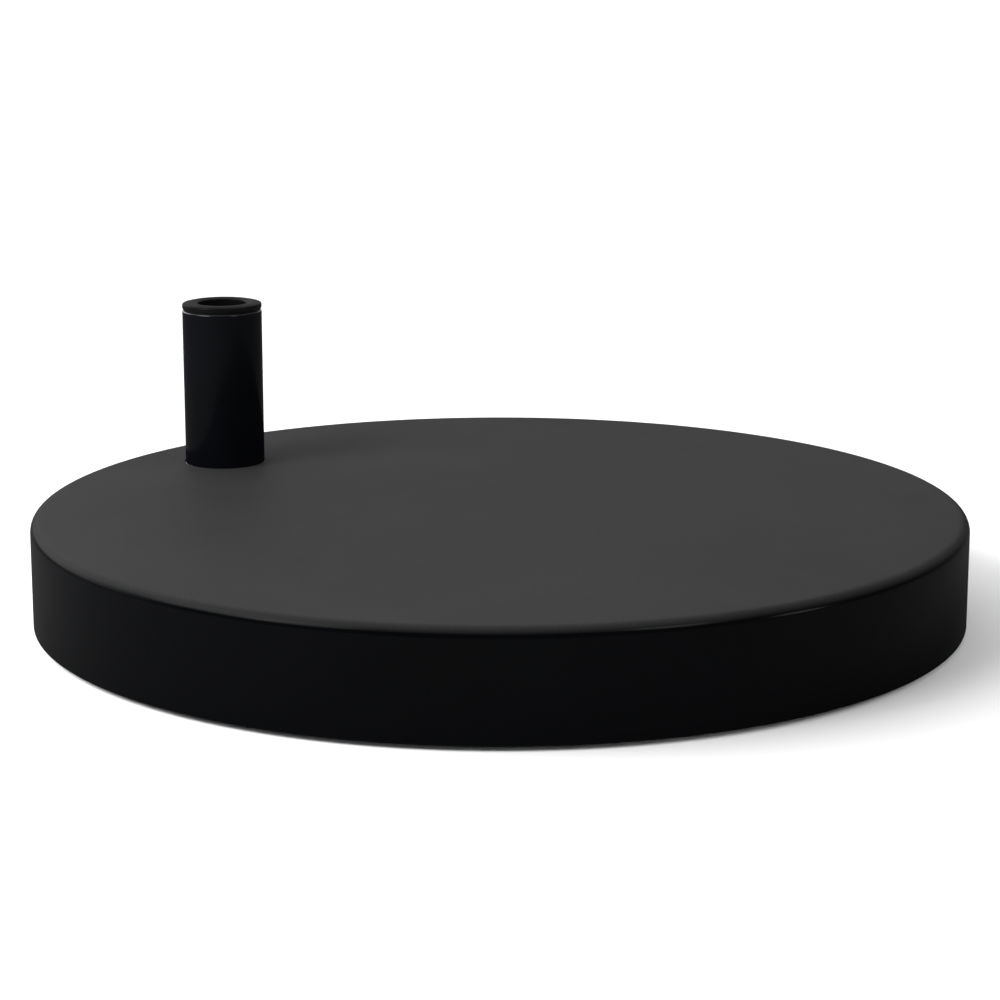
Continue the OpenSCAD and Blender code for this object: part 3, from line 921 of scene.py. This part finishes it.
class PARASOL_OT_seals(bpy.types.Operator):
    """Build the rubber ring round the tube and the rain outlet under it"""

    bl_idname = "parasol.seals"
    bl_label = "Seal and outlet"

    def execute(self, context):
        gap = context.scene.parasol_cover.hole_gap
        sheet = context.scene.parasol_cover.sheet
        lip_r = TUBE_R + gap
        collar_r = SEAL_HIGH[0]
        under = DISC_TOP - sheet
        seal = rounded(
            [
                (TUBE_R, SEAL_LOW[2], 0),
                (collar_r, SEAL_LOW[2], 0.4 * MM),
                (collar_r, under, 0),
                (lip_r, under, 0),
                (lip_r, DISC_TOP - 0.8 * MM, 0.1 * MM),
                (TUBE_R, SEAL_HIGH[2], 0.05 * MM),
            ]
        )
        rubber = MATERIALS["rubber"]
        make_piece("seal", [turned(seal, 192, SOCKET)], "base", ["tube_seal"], rubber)
        bore, neck, flange = 7 * MM, NECK_R, GROMMET_HIGH[0]
        outlet = rounded(
            [
                (bore, GROMMET_LOW[2], 0.8 * MM),
                (flange, GROMMET_LOW[2], 0.9 * MM),
                (flange, UNDER_PAN, 0.3 * MM),
                (neck, UNDER_PAN, 0),
                (neck, GROMMET_HIGH[2], 0),
                (bore, GROMMET_HIGH[2], 0.3 * MM),
            ]
        )
        body = turned(outlet, 96, SOCKET)
        make_piece("rain_outlet", [body], "base", ["drain_grommet"], rubber)
        return {"FINISHED"}


class PARASOL_OT_closing_pan(bpy.types.Operator):
    """Build the galvanised closing pan with its pressed bead, turned-down rim and holes"""

    bl_idname = "parasol.closing_pan"
    bl_label = "Closing pan"

    def execute(self, context):
        sizes = context.scene.parasol_cover
        top, thick, rim = PAN_HIGH[2], PAN_HIGH[2] - UNDER_PAN, PAN_HIGH[0]
        bead = thick + 1 * MM
        first, last = sizes.bead_in, sizes.bead_out
        outline = rounded(
            [
                (0, UNDER_PAN, 0),
                (first, UNDER_PAN, 3 * MM),
                (first + bead, UNDER_PAN - bead, 1.5 * MM),
                (last - bead, UNDER_PAN - bead, 1.5 * MM),
                (last, UNDER_PAN, 3 * MM),
                (rim - thick, UNDER_PAN, 1.2 * MM),
                (rim - thick, PAN_LOW[2], 0.4 * MM),
                (rim, PAN_LOW[2], 0.4 * MM),
                (rim, top, 2.5 * MM),
                (last, top, 1.5 * MM),
                (last - bead, top - bead, 3 * MM),
                (first + bead, top - bead, 3 * MM),
                (first, top, 1.5 * MM),
                (0, top, 0),
            ]
        )
        body = turned(outline, 256)
        finish = MATERIALS["galvanised"]
        pan = make_piece("closing_pan", [body], "base", ["bottom_pan"], finish)
        low, high = UNDER_PAN - 5 * MM, top + 5 * MM

        def drill(radius):
            return np.array([(0, low), (radius, low), (radius, high), (0, high)])

        holes = copies(turned(drill(PAN_HOLE_R), 48), STUD_ANGLES, STUD_CIRCLE)
        holes += copies(turned(drill(PAN_HOLE_R), 48), FOOT_ANGLES, FOOT_CIRCLE)
        holes.append(turned(drill(NECK_R), 64, SOCKET))
        drill_out(pan, holes)
        return {"FINISHED"}


class PARASOL_OT_feet(bpy.types.Operator):
    """Build the rubber feet with their washers and domed screws"""

    bl_idname = "parasol.feet"
    bl_label = "Feet"

    def execute(self, context):
        top = UNDER_PAN
        recess = 8 * MM
        washer_low, washer_high = FOOT_WASHER_LOW[2], FOOT_WASHER_HIGH[2]
        foot = rounded(
            [
                (recess, 0, 0.6 * MM),
                (FOOT_R, 0, 2 * MM),
                (FOOT_R, top, 0.6 * MM),
                (7 * MM, top, 0.3 * MM),
                (7 * MM, top - 1 * MM, 0),
                (4 * MM, top - 1 * MM, 0),
                (4 * MM, washer_high, 0),
                (recess, washer_high, 0),
            ]
        )
        angle = np.arange(96) * FULL_TURN / 96
        tread = foot[:, :1] + 0 * angle
        groove = 0.35 * MM * np.clip(np.cos(angle * 24) * 3, 0, 1)
        upright = (foot[:, 1:2] > 2.2 * MM) & (foot[:, 1:2] < top - 0.9 * MM)
        on_side = upright & (foot[:, :1] > FOOT_R - 1 * MM)
        tread = tread - np.where(on_side, groove, 0)
        feet = copies(rings(tread, foot[:, 1:2], angle), FOOT_ANGLES, FOOT_CIRCLE)
        make_piece("feet", feet, "base", ["rubber_feet"], MATERIALS["rubber"])
        washer = rounded(
            [
                (3.2 * MM, washer_low, 0.15 * MM),
                (7.9 * MM, washer_low, 0.25 * MM),
                (7.9 * MM, washer_high, 0.25 * MM),
                (3.2 * MM, washer_high, 0.15 * MM),
            ],
            steps=3,
        )
        washers = copies(turned(washer, 64), FOOT_ANGLES, FOOT_CIRCLE)
        make_piece("feet_washers", washers, "base", ["foot_washers"], MATERIALS["zinc"])
        screws = copies(button_screw(), FOOT_ANGLES, FOOT_CIRCLE)
        make_piece("feet_screws", screws, "base", ["foot_screws"], MATERIALS["zinc"])
        return {"FINISHED"}


def crowned(outer, inner, top, rise):
    """Arc over a chord from outer to inner: radius = (half chord squared + rise squared) / (2 * rise)."""
    half = (outer - inner) / 2
    radius = (half**2 + rise**2) / (2 * rise)
    turn = np.linspace(1, -1, 15)[1:-1] * math.asin(half / radius)
    across = outer - half + radius * np.sin(turn)
    height = top - radius + radius * np.cos(turn)
    return [(r, z, 0) for r, z in zip(across, height)]


def button_screw():
    """Domed screw with a hexagon socket, head down: rings from the socket's point to the shank's tip."""
    count = 48
    angle = np.arange(count) * FULL_TURN / count
    seat, low, tip = FOOT_WASHER_LOW[2], FOOT_SCREW_LOW[2], FOOT_SCREW_HIGH[2]
    crown_r, head_r, shank_r = 3.2 * MM, 5.25 * MM, 3 * MM
    mouth, foot, point = key_socket_end(KEY_FLATS, 2 * MM, low, count, -1)
    s = np.linspace(0, 1, 9)[:, None]
    dome = rings(
        crown_r + (head_r - crown_r) * np.sin(s * math.pi / 2),
        low + (seat - 0.5 * MM - low) * (1 - np.cos(s * math.pi / 2)),
        angle,
    )
    rest = np.array(
        [(head_r, seat - 0.2 * MM), (5.1 * MM, seat), (shank_r, seat), (shank_r, tip - 0.6 * MM)]
    )
    end = np.array([(2.4 * MM, tip), (0, tip)])
    chamfer = rings(mouth_radius(KEY_FLATS, angle), np.full((1, 1), low), angle)
    return np.concatenate([point, foot, mouth, chamfer, dome, turned(rest, count), turned(end, count)])


def mouth_radius(flats, angle):
    """A hexagon's mouth broken by a small chamfer."""
    return hexagon_radius(flats, angle)[None] + KEY_CHAMFER


class PARASOL_OT_stud_fastenings(bpy.types.Operator):
    """Build the studs' threads with their nuts and washers under the pan"""

    bl_idname = "parasol.stud_fastenings"
    bl_label = "Studs, nuts and washers"

    def execute(self, context):
        pitch = context.scene.parasol_socket.thread_pitch
        low, high = STUD_WASHER_LOW[2], STUD_WASHER_HIGH[2]
        washer = rounded(
            [
                (4.2 * MM, low, 0.2 * MM),
                (STUD_WASHER_R, low, 0.35 * MM),
                (STUD_WASHER_R, high, 0.35 * MM),
                (4.2 * MM, high, 0.2 * MM),
            ],
            steps=3,
        )
        washers = copies(turned(washer, 64), STUD_ANGLES, STUD_CIRCLE)
        make_piece("washers", washers, "base", ["stud_washers"], MATERIALS["zinc"])
        nut = hexagon_nut(NUT_FLATS, SCREW_R, NUT_LOW[2], NUT_HIGH[2])
        nuts = copies(nut, STUD_ANGLES, STUD_CIRCLE)
        make_piece("nuts", nuts, "base", ["stud_nuts"], MATERIALS["zinc"])
        shank_low = high + 6 * MM
        collar = np.array(
            [
                (0, shank_low),
                (SCREW_R, shank_low),
                (SCREW_R, STUD_HIGH[2] - 1 * MM),
                (5 * MM, STUD_HIGH[2] - 1 * MM),
                (5 * MM, STUD_HIGH[2]),
                (0, STUD_HIGH[2]),
            ]
        )
        studs = copies(threaded(SCREW_R, pitch, STUD_LOW[2], shank_low), STUD_ANGLES, STUD_CIRCLE)
        studs += copies(turned(collar, 48), STUD_ANGLES, STUD_CIRCLE)
        make_piece("studs", studs, "base", ["weld_studs"], MATERIALS["zinc"])
        return {"FINISHED"}


def hexagon_nut(flats, bore, low, high):
    """Hexagon nut: the outside is the smaller of the hexagon and a 30 degree cone at each end.

    Rings run down the bore, out over the lower face, up the flats and back over the upper face.
    """
    count = 96
    angle = np.arange(count) * FULL_TURN / count
    slope = math.tan(math.radians(30))
    depth = (flats / 2 / math.cos(math.radians(30)) - flats / 2) * slope
    rise = np.linspace(0, depth, 6)
    height = np.concatenate([low + rise, high - rise[::-1]])[:, None]
    cone = flats / 2 + np.minimum(height - low, high - height) / slope
    outside = np.minimum(hexagon_radius(flats, angle), cone)
    inner = np.array([(bore, high - 0.5 * MM), (bore, low + 0.5 * MM), (bore + 0.5 * MM, low)])
    back = np.array([(bore + 0.5 * MM, high)])
    return np.concatenate([turned(inner, count), rings(outside, height, angle), turned(back, count)])


class PARASOL_OT_clamp(bpy.types.Operator):
    """Build the two clamp screws with their threads and hexagon sockets, and finish their pads"""

    bl_idname = "parasol.clamp"
    bl_label = "Clamp screws"

    def execute(self, context):
        pitch = context.scene.parasol_socket.thread_pitch
        for name, (low, high) in zip(("clamp_screw_upper", "clamp_screw_lower"), CLAMP_BOXES):
            rings_set = clamp_screw(low[1] - SOCKET[1], high[1] - SOCKET[1], pitch)
            laid = laid_along_y(rings_set, SOCKET, (low[2] + high[2]) / 2)
            title = name.replace("clamp_screw", "grub_screw")
            make_piece(title, [laid], name, [name], MATERIALS["black_steel"])
        for node in ("thrust_pad_upper", "thrust_pad_lower"):
            dress(node, MATERIALS["nylon"])
        return {"FINISHED"}


def clamp_screw(tip, head, pitch):
    """Set screw along the upright axis: dog point, helical thread, chamfered end and hexagon socket."""
    count = 64
    radius, dog, shoulder = SCREW_R, 2.5 * MM, tip + 2.6 * MM
    angle = np.arange(count) * FULL_TURN / count
    point = np.array([(0, tip), (dog - 0.3 * MM, tip), (dog, tip + 0.3 * MM), (dog, shoulder)])
    height = np.linspace(shoulder, head - 0.3 * MM, 70)[:, None]
    wave = thread_wave(height, pitch, angle)
    crest = radius - 0.55 * pitch * (1 - wave) * 0.8
    start = np.clip((height - shoulder) / (0.8 * MM), 0, 1)
    end = np.clip((head - height) / (0.6 * MM), 0, 1)
    thread = rings(np.minimum(crest, radius - 0.7 * MM + 0.7 * MM * np.minimum(start, end)), height, angle)
    rim = rings(np.full((1, 1), radius - 0.75 * MM), np.full((1, 1), head), angle)
    mouth, foot, drill = key_socket_end(KEY_FLATS, 4 * MM, head, count, 1)
    chamfer = rings(mouth_radius(KEY_FLATS, angle), np.full((1, 1), head), angle)
    lowered = mouth - np.array([0, 0, KEY_CHAMFER])
    return np.concatenate([turned(point, count), thread, rim, chamfer, lowered, foot, drill])


class PARASOL_OT_inner_parts(bpy.types.Operator):
    """Finish the parts that the cover hides: slab, foam, sleeves, foot plate and anchors"""

    bl_idname = "parasol.inner_parts"
    bl_label = "Inner parts"

    def execute(self, context):
        finishes = {
            "ballast_slab": "concrete",
            "damping_sheet": "foam",
            "stud_sleeves": "nylon",
            "anchor_plate": "primer",
            "anchor_sockets": "zinc",
            "anchor_screws": "zinc",
            "foot_inserts": "zinc",
        }
        for node, finish in finishes.items():
            dress(node, MATERIALS[finish])
        return {"FINISHED"}


class PARASOL_OT_finishes(bpy.types.Operator):
    """Make the materials that the pieces take"""

    bl_idname = "parasol.finishes"
    bl_label = "Finishes"

    def execute(self, context):
        finishes = context.scene.parasol_finishes
        zinc = finishes.zinc
        shine = finishes.coat_shine
        side = finishes.coat_roughness
        MATERIALS["coat"] = coat_material(
            "black_powder_coat",
            finishes,
            painted_light_factor=1.0,
            rough=side,
            top=finishes.top_roughness,
            shine=shine,
            lifted=(shine * 1.8, 0.9, 0.999),
        )
        # The tube's paler copy of the same coat is painted light: it lightens the tube as the light that it
        # catches would.
        MATERIALS["tube_coat"] = coat_material(
            "black_tube_coat",
            finishes,
            painted_light_factor=2.4,
            rough=side * 0.8,
            top=0.1,
            shine=shine * 0.8,
            lifted=(0.35, 0.2, 0.5),
        )
        MATERIALS["plastic"] = plastic_material(finishes)
        MATERIALS["rubber"] = rubber_material(finishes)
        MATERIALS["galvanised"] = galvanised_material(finishes)
        MATERIALS["zinc"] = plated_material("zinc_plate", opaque(zinc, 0.8), opaque(zinc, 1.1), 0.32)
        MATERIALS["black_steel"] = plated_material(
            "blackened_steel", (0.02, 0.02, 0.022, 1.0), (0.045, 0.045, 0.05, 1.0), 0.4
        )
        MATERIALS["primer"] = primer_material()
        MATERIALS["concrete"] = concrete_material(finishes)
        MATERIALS["foam"] = foam_material()
        MATERIALS["nylon"] = nylon_material()
        return {"FINISHED"}


class PARASOL_OT_stage(bpy.types.Operator):
    """Lay the floor, hang the lights and set the camera"""

    bl_idname = "parasol.stage"
    bl_label = "Stage"

    def execute(self, context):
        stage = context.scene.parasol_stage
        self.lay_floor(context, stage)
        self.hang_lights(context, stage)
        self.set_camera(context, stage)
        context.scene.view_settings.view_transform = "Standard"
        return {"FINISHED"}

    def lay_floor(self, context, stage):
        half = FLOOR_HALF
        corners = [(-half, -half, 0), (half, -half, 0), (half, half, 0), (-half, half, 0)]
        mesh = bpy.data.meshes.new("floor")
        mesh.from_pydata(corners, [], [(0, 1, 2, 3)])
        mesh.materials.append(floor_material(stage.floor))
        floor = bpy.data.objects.new("floor", mesh)
        context.scene.collection.objects.link(floor)

    def hang_lights(self, context, stage):
        world = context.scene.world or bpy.data.worlds.new("studio")
        context.scene.world = world
        world.use_nodes = True
        tree = world.node_tree
        surround = tree.nodes["Background"]
        surround.inputs["Color"].default_value = (1.0, 1.0, 1.0, 1.0)
        facing = tree.nodes.new("ShaderNodeTexCoord").outputs["Generated"]
        ahead = (-math.sin(stage.azimuth), math.cos(stage.azimuth), 0)
        right = (math.cos(stage.azimuth), math.sin(stage.azimuth), 0)
        forward = add_node(tree, "ShaderNodeVectorMath", {0: facing, 1: ahead}, operation="DOT_PRODUCT")
        sideways = add_node(tree, "ShaderNodeVectorMath", {0: facing, 1: right}, operation="DOT_PRODUCT")
        up = add_node(tree, "ShaderNodeSeparateXYZ", {0: facing}).outputs["Z"]
        behind = spread(tree, forward.outputs["Value"], -0.1, 0.5, 0.0, 1.0)
        above_floor = spread(tree, up, 0.02, 0.12, 0.0, 1.0)
        below_top = spread(tree, up, 0.45, 0.75, 1.0, 0.0)
        share = calculate(tree, "MULTIPLY", calculate(tree, "MULTIPLY", behind, above_floor), below_top)
        slope = calculate(tree, "MULTIPLY", sideways.outputs["Value"], -stage.lean)
        gradient = calculate(tree, "MAXIMUM", calculate(tree, "ADD", slope, 1.0), 0.0)
        lit = calculate(tree, "MULTIPLY", calculate(tree, "MULTIPLY", share, gradient), stage.backdrop)
        tree.links.new(calculate(tree, "ADD", lit, stage.surround), surround.inputs["Strength"])
        self.add_panel(context, stage)
        self.add_sun(context, stage, "left_box", bearing=-126, height=38, width=24)
        self.add_sun(context, stage, "right_box", bearing=134, height=38, width=16)
        self.add_sun(context, stage, "low_box", bearing=106, height=12, width=14)

    def add_panel(self, context, stage):
        """A square panel near the disc's left side, turned to face the disc."""
        light = bpy.data.lights.new("panel", "AREA")
        light.size, light.energy = PANEL_SIZE, stage.panel
        lamp = bpy.data.objects.new("panel", light)
        heading = stage.azimuth + math.radians(112)
        lamp.location = (-math.sin(heading) * PANEL_AWAY, math.cos(heading) * PANEL_AWAY, PANEL_ABOVE)
        lamp.rotation_euler = (-math.atan2(PANEL_AWAY, PANEL_ABOVE), 0, heading)
        context.scene.collection.objects.link(lamp)

    def add_sun(self, context, stage, name, bearing, height, width):
        """A soft disc of light: bearing clockwise from straight behind, height and width in degrees."""
        light = bpy.data.lights.new(name, "SUN")
        light.angle, light.energy = math.radians(width), getattr(stage, name)
        lamp = bpy.data.objects.new(name, light)
        heading = stage.azimuth - math.radians(bearing)
        lamp.rotation_euler = (math.radians(height - 90), 0, heading)
        context.scene.collection.objects.link(lamp)

    def set_camera(self, context, stage):
        data = bpy.data.cameras.new("camera")
        data.lens, data.sensor_width = stage.lens, FILM_WIDTH
        camera = bpy.data.objects.new("camera", data)
        camera.location = (
            math.sin(stage.azimuth) * stage.distance,
            -math.cos(stage.azimuth) * stage.distance,
            DISC_TOP + stage.rise,
        )
        camera.rotation_euler = (math.pi / 2 - stage.pitch, 0, stage.azimuth)
        context.scene.collection.objects.link(camera)
        context.scene.camera = camera


GROUPS_OF_SIZES = {
    "parasol_cover": ParasolCoverSizes,
    "parasol_socket": ParasolSocketSizes,
    "parasol_finishes": ParasolFinishes,
    "parasol_stage": ParasolStage,
}
OPERATORS = (
    PARASOL_OT_finishes,
    PARASOL_OT_cover,
    PARASOL_OT_socket_tube,
    PARASOL_OT_upper_bush,
    PARASOL_OT_seals,
    PARASOL_OT_closing_pan,
    PARASOL_OT_feet,
    PARASOL_OT_stud_fastenings,
    PARASOL_OT_clamp,
    PARASOL_OT_inner_parts,
    PARASOL_OT_stage,
)


class PARASOL_PT_sidebar(bpy.types.Panel):
    """Lists the sizes and the steps that build the parasol base"""

    bl_idname = "PARASOL_PT_sidebar"
    bl_label = "Parasol Base"
    bl_space_type = "VIEW_3D"
    bl_region_type = "UI"
    bl_category = "Parasol Base"

    def draw(self, context):
        for operator in OPERATORS:
            self.layout.operator(operator.bl_idname)
        for name, group in GROUPS_OF_SIZES.items():
            box = self.layout.box()
            for key in group.__annotations__:
                box.prop(getattr(context.scene, name), key)


def register():
    for group in GROUPS_OF_SIZES.values():
        bpy.utils.register_class(group)
    for name, group in GROUPS_OF_SIZES.items():
        setattr(bpy.types.Scene, name, bpy.props.PointerProperty(type=group))
    for operator in (*OPERATORS, PARASOL_PT_sidebar):
        bpy.utils.register_class(operator)


def unregister():
    for operator in (*OPERATORS, PARASOL_PT_sidebar):
        bpy.utils.unregister_class(operator)
    for name in GROUPS_OF_SIZES:
        delattr(bpy.types.Scene, name)
    for group in GROUPS_OF_SIZES.values():
        bpy.utils.unregister_class(group)


def main():
    register()
    for operator in OPERATORS:
        step = operator.bl_idname.split(".")[1]
        getattr(bpy.ops.parasol, step)()


if __name__ == "__main__":
    main()
